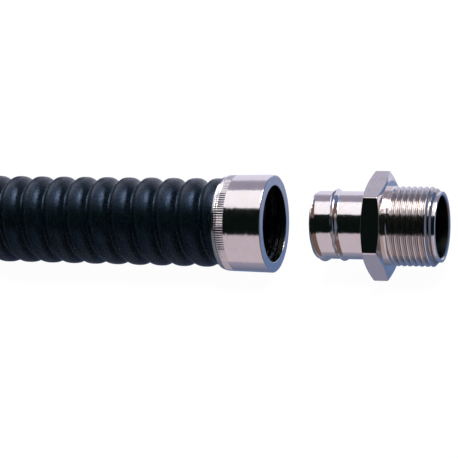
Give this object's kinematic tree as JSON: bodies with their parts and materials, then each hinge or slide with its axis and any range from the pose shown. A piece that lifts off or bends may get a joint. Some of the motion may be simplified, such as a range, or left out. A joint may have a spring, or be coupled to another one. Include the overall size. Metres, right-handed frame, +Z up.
{
  "type": "liquidtight conduit connector",
  "caption": "Two-piece metal connector that screws a covered flexible metal conduit to a threaded cable entry, shown apart on a short piece of conduit.",
  "frame": {"origin": "on the bore's axis, in the hexagon's seating face, where the entry thread starts", "axes": "+X along the bore, out of the entry thread and away from the conduit; +Z up, square to a flat of the hexagon"},
  "size_m": [0.1233, 0.0278, 0.025],
  "materials": {
    "plated_brass": "bright nickel plating over turned brass",
    "plated_ferrule": "bright nickel plating over turned brass",
    "black_cover": "satin soft plastic, finely grained",
    "zinc_strip": "dull galvanised strip"
  },
  "bodies": {
    "adaptor": {"adaptor_body": "plated_brass"},
    "ferrule": {"ferrule": "plated_ferrule"},
    "conduit": {"conduit_cover": "black_cover", "conduit_lining": "zinc_strip"}
  },
  "joints": [
    {"name": "draw_in", "type": "slide", "parent": "adaptor", "child": "ferrule", "axis": [1, 0, 0], "range_m": [0, 0.0256]},
    {"name": "conduit_turn", "type": "hinge", "parent": "ferrule", "child": "conduit", "pos_m": [-0.0323, 0, 0], "axis": [1, 0, 0], "range_deg": [0, 1486]}
  ],
  "couplings": [
    {"joint": "draw_in", "follows": "conduit_turn", "m_per_rad": 0.00098676}
  ]
}
